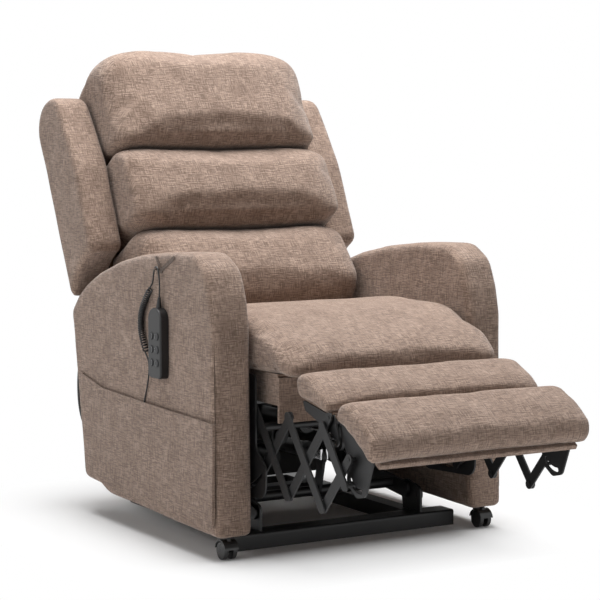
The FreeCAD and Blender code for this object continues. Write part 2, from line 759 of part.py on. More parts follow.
def make_footrest(nodes):
    """Footrest pad, its board and the two brackets that carry it."""
    pivot = rest["pad_pivot"]
    layer = footrest_bracket_layer
    rear_low, front_low = about(pivot, [(53.0, 67.5), (-85.0, -11.5)])
    board, rear_high, front_high = board_between(rear_low, front_low, layer)
    nodes["footrest_board"] = board
    pad_corners = [rear_high + (2,)] + about(pivot, [
        (31.0, 108.5, 16), (3.0, 113.5, 24), (-57.0, 84.5, 90), (-103.0, 47.5, 18), (-104.0, 19.5, 14),
    ]) + [front_high + (2,)]
    nodes["footrest_pad"] = cushion(pad_corners, along(rear_high, front_high, 0.5), pad_half_width,
                                    end_share=0.7, squareness=9)
    bracket = side_panel(about(pivot, [
        (45.0, 69.5, 3), (-69.0, 4.5, 6), (-39.0, -72.5, 16), (-7.0, -80.5, 16), (31.0, -56.5, 16),
        (29.0, -6.5, 20), (53.0, 61.5, 8),
    ]), layer, layer + plate_thickness)
    bracket = bracket.fuse(cross_pin(rivet_radius, layer + 1, rise_layer + plate_thickness + 1, pivot))
    bracket = bracket.cut(parallel_slot("pad_pivot", "pad_control", layer - 1, layer + plate_thickness + 1))
    nodes["footrest_brackets"] = both_sides(bracket.removeSplitter())


def make_arms(nodes):
    """Padded side arms, the fabric pocket on the sitter's right one and the rear panel between them."""
    corners = [
        (-394, 50, 10), (157, 64, 80), (199, 81, 80), (288, 85, 20), (319, 269, 300), (344, 439, 200),
        (357, 488, 25), (313, 531, 100), (272, 558, 150), (197, 591, 150), (86, 624, 250), (-20, 645, 300),
        (-156, arm_top, 300), (-285, 663, 60), (-344, 630, 60), (-371, 568, 80), (-384, 504, 100),
        (-383, 354, 400), (arm_front, 138, 0),
    ]
    arm = soft_panel(corners, arm_inner, half_width, arm_edge_round)
    stem = cylinder(caster_stem_radius + caster_stem_play, Vector(caster_place[0], caster_place[1], 40),
                    Vector(caster_place[0], caster_place[1], 90))
    arm = arm.cut(stem)
    nodes["left_arm"] = arm
    outlet = box((-half_width - 4.8, -58, 262), (-half_width, -42, 282))
    nodes["right_arm"] = fused(mirrored(arm), outlet)
    hem = [(-388, 302, 0), (-50, 310, 0), (164, 317, 0), (288, 341, 0)]
    below = [(276, 230, 0), (262, 100, 30), (199, 100, 60), (157, 84, 60), (-384, 72, 20)]
    outer = side_panel(hem + below, -half_width - 6.5, -half_width)
    inner = side_panel([(-383, 420, 0), (283, 420, 0), (283, 336, 0), (271, 230, 0), (257, 105, 26), (199, 105, 56),
                        (157, 89, 56), (-379, 77, 16)], -half_width - 5, -half_width)
    nodes["side_pocket"] = outer.cut(inner)
    nodes["rear_panel"] = box((-arm_inner, 268, 90), (arm_inner, 280, 300))


def make_back(nodes):
    """Reclining back: wings, rear panel, frame, pivot brackets, drive tube and three cushions."""
    wing = soft_panel(back_corners([
        (wing_rear, 198, 8), (-82, 258, 200), (8, 269, 25), (20, 480, 200), (-18, 695, 60),
        (wing_rear, wing_top + 6, 75),
    ]), wing_inner, half_width, wing_edge_round)
    nodes["back_wings"] = both_sides(wing)
    front = wing_rear + panel_thickness
    panel = [(wing_rear, panel_low, 6), (front, panel_low, 6), (front, panel_high, 6), (wing_rear, panel_high, 6)]
    nodes["back_panel"] = side_panel(back_corners(panel), -wing_inner, wing_inner)
    upright_inner = upright_outer - back_tube
    face = front + frame_depth
    upright = [(front, 210, 0), (face, 210, 0), (face, 690, 0), (front, 690, 0)]
    upright = side_panel(back_corners(upright), upright_inner, upright_outer)
    rails = []
    for low in (230.0, 640.0):
        corners = [(front, low, 0), (face, low, 0), (face, low + 40, 0), (front, low + 40, 0)]
        rails.append(side_panel(back_corners(corners), -upright_inner, upright_inner))
    nodes["back_frame"] = Part.makeCompound([upright, mirrored(upright)] + rails)
    tube_place = (back_pivot[0] + 11, back_pivot[1] - 59)
    elbow = in_back(-120, 228)
    tip = in_back(-120, 330)
    outer = upright_outer + plate_thickness
    bracket = fused(bar(back_pivot, elbow, 34, upright_outer, outer), bar(elbow, tip, 26, upright_outer, outer),
                    bar(back_pivot, tube_place, 34, upright_outer, outer),
                    cross_pin(lift_pin_radius, plate_inner - 1, upright_outer + 1, back_pivot))
    nodes["back_brackets"] = both_sides(bracket)
    tube = cross_pin(11, -upright_outer, upright_outer, tube_place)
    slot = drive_slot(back_pin, back_pivot, 1, -back_in, back_out)
    nodes["back_drive_tube"] = fused(tube, drive_lug(tube_place, 22, slot, back_actuator_x))
    rear = cushion_back
    head = back_corners([
        (rear, head_crease, 10), (rear, 745, 20), (10, head_top, 60), (108, 765, 60), (118, 600, 200),
        (122, 520, 12), (60, head_crease, 20),
    ])
    nodes["head_cushion"] = cushion(head, in_back(rear, head_crease + 12), wing_inner - head_side_gap, squareness=4.5)
    top = head_crease - 1
    middle = back_corners([
        (rear, mid_crease, 10), (rear, top, 10), (60, top, 30), (110, 470, 50), (122, 380, 150), (125, 305, 12),
        (60, mid_crease, 20),
    ])
    nodes["mid_cushion"] = cushion(middle, in_back(rear, 400), wing_inner - mid_side_gap, squareness=8)
    top = mid_crease - 1
    lumbar = back_corners([
        (rear, 70, 10), (rear, top, 10), (60, top, 30), (108, 255, 50), (128, 180, 80), (140, 116, 30),
        (84, 62, 8), (70, 78, 0), (25, 106, 30), (-25, 106, 30), (-70, 78, 20),
    ])
    nodes["lumbar_cushion"] = cushion(lumbar, in_back(rear, 200), arm_inner - lumbar_side_gap, squareness=9)


def make_casters(nodes):
    """Twin-wheel casters in the arm fronts: a swivelling hood with its stem, and the wheel pair."""
    x, y = caster_place
    axle = (y - caster_trail, caster_wheel_radius)
    stem = cylinder(caster_stem_radius, Vector(x, y, 38), Vector(x, y, 84))
    plate = cylinder(13, Vector(x, y, 41), Vector(x, y, 49))
    web = side_panel([
        (axle[0] - 7, axle[1] - 6, 5), (axle[0] + 10, axle[1] - 6, 5), (y + 12, 49, 0), (y - 20, 49, 0),
        (axle[0] - 12, axle[1] + 18, 5),
    ], x - 4, x + 4)
    cover = cross_pin(caster_wheel_radius + 4, x - 17, x + 17, axle)
    cover = cover.cut(cross_pin(caster_wheel_radius + 1.5, x - 18, x + 18, axle))
    cover = cover.cut(box((x - 20, y - 60, -10), (x + 20, y + 40, axle[1] + 4)))
    hood = fused(stem, plate, web, cover).cut(cross_pin(3.05, x - 5, x + 5, axle))
    wheels = [cross_pin(caster_wheel_radius, x + side * 5.5, x + side * 16, axle) for side in (-1, 1)]
    wheels = [wheel.makeFillet(2.5, [e for e in wheel.Edges if len(e.Vertexes) == 1]) for wheel in wheels]
    pair = fused(wheels[0], wheels[1], cross_pin(3, x - 14, x + 14, axle))
    nodes["left_caster_hood"] = hood
    nodes["right_caster_hood"] = mirrored(hood)
    nodes["left_caster_wheels"] = pair
    nodes["right_caster_wheels"] = mirrored(pair)


def cord_path(points):
    """Straight runs joined by tangent arcs; every arc takes the same share of its shorter run."""
    edges = []
    last = points[0]
    radii = []
    for i in range(1, len(points) - 1):
        here = points[i]
        back = (points[i - 1] - here)
        on = (points[i + 1] - here)
        reach = 0.45 * min(back.Length, on.Length)
        half = back.getAngle(on) / 2
        radii.append(round(reach * math.tan(half), 1))
        back = back.normalize()
        on = on.normalize()
        start = here + back * reach
        end = here + on * reach
        centre = here + (back + on).normalize() * (reach / math.cos(half))
        bend = centre + (here - centre).normalize() * (reach * math.tan(half))
        edges.append(Part.LineSegment(last, start).toShape())
        edges.append(Part.Arc(start, bend, end).toShape())
        last = end
    edges.append(Part.LineSegment(last, points[-1]).toShape())
    print("cord radii", radii)
    return Part.Wire(edges)


def cord(points, radius):
    return swept(cord_path([Vector(*point) for point in points]), radius)


def swept(path, radius):
    first = path.Edges[0]
    start = first.valueAt(first.FirstParameter)
    way = first.tangentAt(first.FirstParameter)
    ring = Part.Wire([Part.makeCircle(radius, start, way)])
    solid = path.makePipeShell([ring], True, False)
    print("cord", round(path.Length, 1), round(solid.Volume / (math.pi * radius ** 2 * path.Length), 4))
    return solid


def make_handset(nodes):
    """Six-button handset on the outer face of the arm, its curly cord, the tie and the rear lead."""
    inner = -half_width
    outer = inner - handset_thickness
    y_low = handset_middle - handset_width / 2
    y_high = handset_middle + handset_width / 2
    case = side_panel([(y_low, handset_low, 12), (y_high, handset_low, 12), (y_high, handset_high, 27),
                       (y_low, handset_high, 27)], outer, inner)
    case = case.makeFillet(4, rim_edges(case, (outer,)))
    relief_foot = Vector(cord_layer, handset_middle, handset_high - 4)
    relief_top = Vector(cord_layer, handset_middle - 3, handset_high + 24)
    relief = Part.makeCone(6.5, 3.2, (relief_top - relief_foot).Length, relief_foot, relief_top - relief_foot)
    case = fused(case, relief)
    names = ("up_left", "up_right", "middle_left", "middle_right", "down_left", "down_right")
    spots = [(y, z) for z in reversed(button_rows) for y in button_columns]
    for name, spot in zip(names, spots):
        case = case.cut(cross_pin(button_radius + button_play, outer - 1, outer + 7.5, spot))
        button = cross_pin(button_radius, outer - button_proud, outer + 6, spot)
        nodes["button_" + name] = button.makeFillet(1.2, rim_edges(button, (outer - button_proud,)))
    nodes["handset_case"] = case
    nodes["curly_cord"] = cord([(cord_layer, y, z) for y, z in (
        (-100, 575), (-68, 543), (-46, 503), (-52, 461), (-78, 424))], coil_radius)
    upper = cord([tuple(relief_top)] + [(cord_layer, y, z) for y, z in (
        (-144.5, 571), (-144.5, 592), (-140.5, 612), (-134, 623.8), (-125.5, 624.8), (-118, 616),
        (-113.5, 601), (-110.6, 585.6), (-100, 575))], cord_radius)
    lower = cord([(-388.5, -78, 424), (-388.5, -89, 408.3), (-388.5, -90, 387), (-386.5, -80, 361),
                  (-382.6, -62, 333), (-382.4, -50, 308), (-382.4, -50, 282)], cord_radius)
    nodes["cord_leads"] = Part.makeCompound([upper, lower])
    strips = [bar(top, low, 9, inner - 1.5, inner)
              for top, low in (((-116, 643), (-140, 614)), ((-200, 648), (-132, 614)))]
    peg = cross_pin(2.5, inner - 13, inner - 1, (-129.5, 619.05))
    nodes["cord_tie"] = fused(strips[0], strips[1], peg)
    nodes["rear_lead"] = cord([(-350, 337.5, 395), (-350, 353.3, 392.7), (-356, 363, 345), (-360, 360, 292),
                               (-362, 347, 240), (-358, 327.8, 200.7), (-358, 308.05, 204)], lead_radius)


make_order = (make_floor_frame, make_lift, make_seat, make_side_plates, make_tongs, make_drive_tube, make_bridge,
              make_footrest, make_actuators, make_arms, make_back, make_casters, make_handset)
build = {}
for make in make_order:
    make(build)
os.makedirs("parts", exist_ok=True)
for name, shape in build.items():
    shape.exportStep("parts/" + name + ".step")
    print(name, len(shape.Solids), round(shape.Volume), shape.isValid())
print("nodes", len(build))
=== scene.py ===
import bpy
import bmesh
import math
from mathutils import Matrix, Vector, noise


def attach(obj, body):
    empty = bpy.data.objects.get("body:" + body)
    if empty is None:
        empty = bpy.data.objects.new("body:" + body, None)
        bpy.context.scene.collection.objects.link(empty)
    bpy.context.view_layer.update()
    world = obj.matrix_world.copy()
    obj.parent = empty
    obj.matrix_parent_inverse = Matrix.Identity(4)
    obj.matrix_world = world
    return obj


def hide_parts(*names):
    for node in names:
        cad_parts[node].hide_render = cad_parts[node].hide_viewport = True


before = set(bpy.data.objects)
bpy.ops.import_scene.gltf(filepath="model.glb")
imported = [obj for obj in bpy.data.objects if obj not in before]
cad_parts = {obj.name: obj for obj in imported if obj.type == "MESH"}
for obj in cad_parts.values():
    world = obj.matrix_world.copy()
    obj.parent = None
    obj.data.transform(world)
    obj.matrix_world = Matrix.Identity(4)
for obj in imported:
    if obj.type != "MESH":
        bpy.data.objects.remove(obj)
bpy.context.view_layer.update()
scene = bpy.context.scene
scene.view_settings.view_transform = "Standard"

# Camera, fitted to the photograph
view = {
    "lens": 117.6,
    "azimuth": -30.8,
    "elevation": 5.1,
    "distance": 4.7,
    "target": (0.047, -0.026, 0.522),
}


def placeCamera():
    cameraData = bpy.data.cameras.new("camera")
    cameraData.lens = view["lens"]
    cameraData.sensor_width = 36
    cameraData.clip_end = 50
    camera = bpy.data.objects.new("camera", cameraData)
    scene.collection.objects.link(camera)
    turn = math.radians(view["azimuth"])
    rise = math.radians(view["elevation"])
    look = Vector((-math.sin(turn) * math.cos(rise), math.cos(turn) * math.cos(rise), -math.sin(rise)))
    camera.location = Vector(view["target"]) - look * view["distance"]
    camera.rotation_euler = look.to_track_quat("-Z", "Y").to_euler()
    scene.camera = camera


placeCamera()
print("camera placed")


# Short hand for building one node tree
class Wiring:
    def __init__(self, tree):
        self.tree = tree

    def node(self, kind, inputs=None, **settings):
        made = self.tree.nodes.new(kind)
        for key, value in settings.items():
            setattr(made, key, value)
        for key, value in (inputs or {}).items():
            if isinstance(value, bpy.types.NodeSocket):
                self.tree.links.new(value, made.inputs[key])
            else:
                made.inputs[key].default_value = value
        return made

    def math(self, operation, *values, clamp=False):
        made = self.tree.nodes.new("ShaderNodeMath")
        made.operation = operation
        made.use_clamp = clamp
        for index, value in enumerate(values):
            if isinstance(value, bpy.types.NodeSocket):
                self.tree.links.new(value, made.inputs[index])
            else:
                made.inputs[index].default_value = value
        return made.outputs[0]

    def mix(self, factor, first, second, blend="MIX"):
        made = self.tree.nodes.new("ShaderNodeMix")
        made.data_type = "RGBA"
        made.blend_type = blend
        for socket, value in ((0, factor), (6, first), (7, second)):
            if isinstance(value, bpy.types.NodeSocket):
                self.tree.links.new(value, made.inputs[socket])
            else:
                made.inputs[socket].default_value = value
        return made.outputs[2]

    def ramp(self, value, stops):
        made = self.tree.nodes.new("ShaderNodeValToRGB")
        self.tree.links.new(value, made.inputs[0])
        elements = made.color_ramp.elements
        while len(elements) < len(stops):
            elements.new(0.5)
        for element, (place, shade) in zip(elements, stops):
            element.position = place
            element.color = (shade, shade, shade, 1) if isinstance(shade, float) else (*shade, 1)
        return made.outputs[0]

    def noise(self, vector, scale, detail=2.0, rough=0.5):
        made = self.node("ShaderNodeTexNoise", {"Vector": vector, "Scale": scale, "Detail": detail,
                                                "Roughness": rough})
        return made.outputs["Fac"]

    def stretch(self, vector, x, y, z):
        made = self.node("ShaderNodeVectorMath", {0: vector, 1: (x, y, z)}, operation="MULTIPLY")
        return made.outputs[0]


def newGroup(name, inputs, outputs):
    tree = bpy.data.node_groups.new(name, "ShaderNodeTree")
    for label, kind, value in inputs:
        socket = tree.interface.new_socket(label, in_out="INPUT", socket_type=kind)
        if value is not None:
            socket.default_value = value
    for label, kind in outputs:
        tree.interface.new_socket(label, in_out="OUTPUT", socket_type=kind)
    wiring = Wiring(tree)
    return tree, wiring, wiring.node("NodeGroupInput"), wiring.node("NodeGroupOutput")


# Scales of the weave, in turns per metre; a slub is long one way and thin the other
weaveScales = {
    "slubLong": 50,
    "slubThin": 380,
    "waver": 60.0,
    "waverReach": 0.0016,
    "patch": 24.0,
    "cloud": 17.0,
    "grain": 420.0,
    "rib": 190.0,
    "warp": 170.0,
}


# Chenille: slubs along and across, flecks and thread relief, laid flat on each side of a piece
def makeWeaveGroup():
    scales = weaveScales
    long, thin = scales["slubLong"], scales["slubThin"]
    tree, w, given, result = newGroup("chenilleWeave", [
        ("Vector", "NodeSocketVector", None),
        ("Normal", "NodeSocketVector", None),
        ("Light", "NodeSocketColor", (0.55, 0.40, 0.31, 1)),
        ("Middle", "NodeSocketColor", (0.34, 0.235, 0.185, 1)),
        ("Dark", "NodeSocketColor", (0.16, 0.105, 0.08, 1)),
        ("Fleck", "NodeSocketFloat", 1.0),
    ], [("Color", "NodeSocketColor"), ("Height", "NodeSocketFloat")])
    place = w.node("ShaderNodeSeparateXYZ", {0: given.outputs["Vector"]})
    facing = w.node("ShaderNodeSeparateXYZ", {0: given.outputs["Normal"]})
    x, y, z = place.outputs
    nx = w.math("ABSOLUTE", facing.outputs[0])
    ny = w.math("ABSOLUTE", facing.outputs[1])
    nz = w.math("ABSOLUTE", facing.outputs[2])
    top = w.math("GREATER_THAN", nz, 0.74)  # a face that leans less than about 42 degrees counts as a top
    side = w.math("MULTIPLY", w.math("GREATER_THAN", nx, ny), w.math("SUBTRACT", 1.0, top))
    notSide = w.math("SUBTRACT", 1.0, side)
    notTop = w.math("SUBTRACT", 1.0, top)
    along = w.math("ADD", w.math("MULTIPLY", y, side), w.math("MULTIPLY", x, notSide))
    up = w.math("ADD", w.math("MULTIPLY", y, top), w.math("MULTIPLY", z, notTop))
    # the last coordinate keeps the sides from repeating the front
    flat = w.node("ShaderNodeCombineXYZ", {0: along, 1: up, 2: w.math("MULTIPLY", side, 3.7)}).outputs[0]
    waver = w.node("ShaderNodeTexNoise", {"Vector": flat, "Scale": scales["waver"], "Detail": 1.0})
    waver = w.stretch(waver.outputs["Color"], scales["waverReach"], scales["waverReach"], 0)
    flat = w.node("ShaderNodeVectorMath", {0: flat, 1: waver}, operation="ADD").outputs[0]
    across = w.noise(w.stretch(flat, long, thin, 1), 1.0, 2.0, 0.55)
    upright = w.noise(w.stretch(flat, thin, long, 1), 1.0, 2.0, 0.55)
    patch = w.noise(flat, scales["patch"], 3.0, 0.65)
    grain = w.noise(flat, scales["grain"], 2.0, 0.6)
    lightAcross = w.ramp(across, [(0.52, 0.0), (0.64, 1.0)])
    lightUpright = w.ramp(upright, [(0.54, 0.0), (0.66, 1.0)])
    light = w.math("MAXIMUM", lightAcross, lightUpright)
    darkAcross = w.ramp(across, [(0.38, 1.0), (0.48, 0.0)])
    darkUpright = w.ramp(upright, [(0.37, 1.0), (0.47, 0.0)])
    dark = w.math("MAXIMUM", darkAcross, darkUpright)
    patchShare = w.ramp(patch, [(0.38, 0.15), (0.60, 1.0)])
    cloud = w.ramp(w.noise(flat, scales["cloud"], 2.0, 0.6), [(0.35, 0.0), (0.65, 0.32)])
    colour = w.mix(cloud, given.outputs["Middle"], given.outputs["Light"])
    colour = w.mix(w.math("MULTIPLY", w.math("MULTIPLY", light, patchShare), 0.8), colour,
                   given.outputs["Light"])
    colour = w.mix(w.math("MULTIPLY", dark, w.math("MULTIPLY", given.outputs["Fleck"], 0.5)), colour,
                   given.outputs["Dark"])
    colour = w.mix(w.math("MULTIPLY", w.math("SUBTRACT", grain, 0.5), 0.9, clamp=True), colour,
                   given.outputs["Dark"])
    rib = w.node("ShaderNodeTexWave", {"Vector": flat, "Scale": scales["rib"], "Distortion": 2.0,
                                       "Detail": 1.0}, bands_direction="Y")
    warp = w.node("ShaderNodeTexWave", {"Vector": flat, "Scale": scales["warp"], "Distortion": 2.0,
                                        "Detail": 1.0}, bands_direction="X")
    height = w.math("MULTIPLY", w.math("ADD", rib.outputs["Fac"], warp.outputs["Fac"]), 0.22)
    height = w.math("ADD", height, w.math("MULTIPLY", light, 0.5))
    height = w.math("SUBTRACT", height, w.math("MULTIPLY", dark, 0.35))
    height = w.math("ADD", height, w.math("MULTIPLY", grain, 0.35))
    tree.links.new(colour, result.inputs[0])
    tree.links.new(height, result.inputs[1])
    return tree


# Dust and rubbed patches for painted metal and plastic
def makeWearGroup():
    tree, w, given, result = newGroup("rubbedDust", [
        ("Vector", "NodeSocketVector", None),
        ("Base", "NodeSocketColor", (0.02, 0.02, 0.02, 1)),
        ("Dust", "NodeSocketColor", (0.18, 0.17, 0.16, 1)),
        ("Amount", "NodeSocketFloat", 0.3),
        ("Grain", "NodeSocketFloat", 900.0),
    ], [("Color", "NodeSocketColor"), ("Rough", "NodeSocketFloat"), ("Height", "NodeSocketFloat")])
    cloud = w.noise(given.outputs["Vector"], 9.0, 4.0, 0.6)
    speck = w.noise(given.outputs["Vector"], given.outputs["Grain"], 2.0, 0.6)
    share = w.math("MULTIPLY", w.ramp(cloud, [(0.45, 0.0), (0.75, 1.0)]), given.outputs["Amount"])
    tree.links.new(w.mix(share, given.outputs["Base"], given.outputs["Dust"]), result.inputs[0])
    tree.links.new(w.math("ADD", 0.38, w.math("MULTIPLY", cloud, 0.25)), result.inputs[1])
    tree.links.new(speck, result.inputs[2])
    return tree


weaveGroup = makeWeaveGroup()
wearGroup = makeWearGroup()


def newMaterial(name):
    material = bpy.data.materials.new(name)
    material.use_nodes = True
    wiring = Wiring(material.node_tree)
    shader = material.node_tree.nodes["Principled BSDF"]
    return material, wiring, shader


def setShader(shader, values):
    for key, value in values.items():
        shader.inputs[key].default_value = value


cloth = {
    "light": (0.47, 0.345, 0.272, 1),
    "middle": (0.255, 0.176, 0.134, 1),
    "dark": (0.10, 0.064, 0.048, 1),
    "relief": 0.0011,
}


def clothMaterial(name, tone=1.0, fleck=1.0):
    material, w, shader = newMaterial(name)
    place = w.node("ShaderNodeTexCoord")
    weave = w.node("ShaderNodeGroup", node_tree=weaveGroup)
    w.tree.links.new(place.outputs["Object"], weave.inputs["Vector"])
    w.tree.links.new(place.outputs["Normal"], weave.inputs["Normal"])
    for key in ("light", "middle", "dark"):
        weave.inputs[key.capitalize()].default_value = [c * tone for c in cloth[key][:3]] + [1]
    weave.inputs["Fleck"].default_value = fleck
    w.tree.links.new(weave.outputs["Color"], shader.inputs["Base Color"])
    bump = w.node("ShaderNodeBump", {"Strength": 0.7, "Distance": cloth["relief"],
                                     "Height": weave.outputs["Height"]})
    w.tree.links.new(bump.outputs[0], shader.inputs["Normal"])
    setShader(shader, {"Roughness": 0.93, "Sheen Weight": 0.25, "Sheen Roughness": 0.5,
                       "Specular IOR Level": 0.2})
    return material


def hardMaterial(name, base, rough, amount=0.25, metallic=0.0, relief=0.00008, grain=900.0, dust=None):
    material, w, shader = newMaterial(name)
    place = w.node("ShaderNodeTexCoord")
    wear = w.node("ShaderNodeGroup", node_tree=wearGroup)
    w.tree.links.new(place.outputs["Object"], wear.inputs["Vector"])
    wear.inputs["Base"].default_value = (*base, 1)
    wear.inputs["Dust"].default_value = (*(dust or [c * 2.2 + 0.03 for c in base]), 1)
    wear.inputs["Amount"].default_value = amount
    wear.inputs["Grain"].default_value = grain
    w.tree.links.new(wear.outputs["Color"], shader.inputs["Base Color"])
    roughness = w.math("MULTIPLY", wear.outputs["Rough"], rough / 0.5)
    w.tree.links.new(roughness, shader.inputs["Roughness"])
    bump = w.node("ShaderNodeBump", {"Strength": 0.5, "Distance": relief, "Height": wear.outputs["Height"]})
    w.tree.links.new(bump.outputs[0], shader.inputs["Normal"])
    setShader(shader, {"Metallic": metallic})
    return material


def timberMaterial(name):
    material, w, shader = newMaterial(name)
    place = w.node("ShaderNodeTexCoord")
    grain = w.noise(w.stretch(place.outputs["Object"], 6, 60, 160), 1.0, 4.0, 0.6)
    colour = w.ramp(grain, [(0.3, (0.38, 0.25, 0.13)), (0.7, (0.58, 0.42, 0.25))])
    w.tree.links.new(colour, shader.inputs["Base Color"])
    bump = w.node("ShaderNodeBump", {"Strength": 0.4, "Distance": 0.0004, "Height": grain})
    w.tree.links.new(bump.outputs[0], shader.inputs["Normal"])
    setShader(shader, {"Roughness": 0.7})
    return material


upholstery = clothMaterial("upholstery")
pocketCloth = clothMaterial("pocketCloth", tone=0.94)
# The self-fabric cord tie is the upholstery cloth at under half tone: painted shade on the tie
shadedTieCloth = clothMaterial("shadedTieCloth", tone=0.45, fleck=0.6)
# The seam line is the upholstery cloth at half tone: painted shade of the seam's groove
seamShadeCloth = clothMaterial("seamShadeCloth", tone=0.5, fleck=0.4)
# Near-black for the sheet that stands in for the shade under the chair: painted shade
shadeBlack = hardMaterial("shadeBlack", (0.012, 0.0115, 0.011), 0.9, amount=0.3, relief=0.0004, grain=600.0)
framePaint = hardMaterial("framePaint", (0.007, 0.007, 0.0075), 0.42, amount=0.12, dust=(0.03, 0.03, 0.03))
linkPaint = hardMaterial("linkPaint", (0.005, 0.005, 0.0055), 0.5, amount=0.1, dust=(0.025, 0.025, 0.025))
rodSteel = hardMaterial("rodSteel", (0.7, 0.7, 0.71), 0.16, amount=0.1, metallic=1.0, dust=(0.4, 0.4, 0.4))
motorPlastic = hardMaterial("motorPlastic", (0.009, 0.009, 0.0095), 0.5, amount=0.15, relief=0.0002)
handsetPlastic = hardMaterial("handsetPlastic", (0.006, 0.0055, 0.006), 0.42, amount=0.06, relief=0.0001,
                              grain=1600.0)
keyRubber = hardMaterial("keyRubber", (0.010, 0.010, 0.012), 0.5, amount=0.05, relief=0.0001)
keyLine = hardMaterial("keyLine", (0.30, 0.31, 0.31), 0.6, amount=0.1)
cordJacket = hardMaterial("cordJacket", (0.010, 0.0095, 0.0095), 0.45, amount=0.1, relief=0.0001)
casterNylon = hardMaterial("casterNylon", (0.012, 0.012, 0.012), 0.28, amount=0.15)
timber = timberMaterial("timber")
print("materials made")


# The hard pieces keep the form that the CAD gave them and only get their finish
def dress(material, *names):
    for name in names:
        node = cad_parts[name]
        node.data.materials.clear()
        node.data.materials.append(material)


dress(framePaint, "floor_frame", "lift_arms", "lift_cross_tube", "front_lift_links", "lift_hangers",
      "actuator_mounts", "back_brackets", "back_drive_tube", "legrest_drive_tube", "side_plates")
dress(linkPaint, "rear_drop_links", "rear_rise_links", "middle_rise_links", "middle_drop_links",
      "front_rise_links", "front_drop_links", "bridge_brackets", "footrest_brackets", "mechanism_spacers")
dress(rodSteel, "lift_rod", "back_rod", "legrest_rod")
dress(motorPlastic, "lift_actuator", "back_actuator", "legrest_actuator", "control_box")
dress(timber, "back_frame")
dress(upholstery, "side_seat_rails", "cross_seat_rails", "seat_board", "bridge_board", "footrest_board")
dress(casterNylon, "left_caster_hood", "right_caster_hood", "left_caster_wheels", "right_caster_wheels")
dress(handsetPlastic, "handset_case")
dress(keyRubber, "button_up_left", "button_up_right", "button_middle_left", "button_middle_right",
      "button_down_left", "button_down_right")


def activate(piece):
    bpy.ops.object.select_all(action="DESELECT")
    piece.select_set(True)
    bpy.context.view_layer.objects.active = piece


# The CAD mesh is loose triangles, so a copy is merged first
def copyOfNode(name, newName):
    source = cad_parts[name]
    mesh = source.data.copy()
    shaped = bmesh.new()
    shaped.from_mesh(mesh)
    bmesh.ops.remove_doubles(shaped, verts=shaped.verts, dist=0.00002)
    bmesh.ops.recalc_face_normals(shaped, faces=shaped.faces)
    shaped.to_mesh(mesh)
    shaped.free()
    piece = bpy.data.objects.new(newName, mesh)
    scene.collection.objects.link(piece)
    return piece


def remesh(piece, voxel):
    activate(piece)
    piece.data.remesh_voxel_size = voxel
    bpy.ops.object.voxel_remesh()


def relax(piece, rounds, strength=0.5):
    shaped = bmesh.new()
    shaped.from_mesh(piece.data)
    for _ in range(rounds):
        bmesh.ops.smooth_vert(shaped, verts=shaped.verts, factor=strength, use_axis_x=True,
                              use_axis_y=True, use_axis_z=True)
    shaped.to_mesh(piece.data)
    shaped.free()


coverCloth = {
    "frames": 20,
    "quality": 4,
    "mass": 0.35,
    "stretch": 20,
    "bend": 2.0,
    "shrink": -0.02,
}


# Fills the cover with cloth pressure; no point moves further than cap
def puff(piece, pressure, cap):
    before = [vertex.co.copy() for vertex in piece.data.vertices]
    activate(piece)
    bpy.ops.object.modifier_add(type="CLOTH")
    cover = piece.modifiers[-1]
    settings = cover.settings
    settings.use_pressure = True
    settings.uniform_pressure_force = pressure
    settings.quality = coverCloth["quality"]
    settings.mass = coverCloth["mass"]
    settings.tension_stiffness = coverCloth["stretch"]
    settings.compression_stiffness = coverCloth["stretch"]
    settings.bending_stiffness = coverCloth["bend"]
    settings.shrink_min = coverCloth["shrink"]
    settings.effector_weights.gravity = 0
    cover.point_cache.frame_start = 1
    cover.point_cache.frame_end = coverCloth["frames"]
    for number in range(1, coverCloth["frames"] + 1):
        scene.frame_set(number)
    evaluated = piece.evaluated_get(bpy.context.evaluated_depsgraph_get())
    moved = [vertex.co.copy() for vertex in evaluated.data.vertices]
    piece.modifiers.remove(cover)
    for vertex, start, end in zip(piece.data.vertices, before, moved):
        step = end - start
        if step.length > cap:
            step *= cap / step.length
        vertex.co = start + step
    scene.frame_set(1)


# Broad soft unevenness of a stuffed cover
def rumple(piece, size, depth, seed):
    shift = Vector((seed * 3.1, seed * 1.7, seed * 2.3))
    piece.data.update()
    normals = [vertex.normal.copy() for vertex in piece.data.vertices]
    for vertex, normal in zip(piece.data.vertices, normals):
        swell = noise.noise(vertex.co / size + shift) + 0.5 * noise.noise(vertex.co * 2.1 / size + shift)
        vertex.co += normal * swell * depth


# Keeps a cover's points inside |x| <= half and on the right side of planes (point, normal)
def keepInside(piece, half, gapPlanes):
    for vertex in piece.data.vertices:
        if abs(vertex.co.x) > half:
            vertex.co.x = math.copysign(half, vertex.co.x)
        for point, normal in gapPlanes:
            depth = (vertex.co - point).dot(normal)
            if depth < 0:
                vertex.co -= normal * depth


# Directions of the leaning back, and a spot in it by millimetres forward and up from its pivot
lean = math.radians(25.9)
backPivot = Vector((0, 0.130, 0.400))
forwardInBack = Vector((0, -math.cos(lean), math.sin(lean)))
upInBack = Vector((0, math.sin(lean), math.cos(lean)))


def inBack(forward, up):
    return backPivot + forwardInBack * (forward / 1000) + upInBack * (up / 1000)


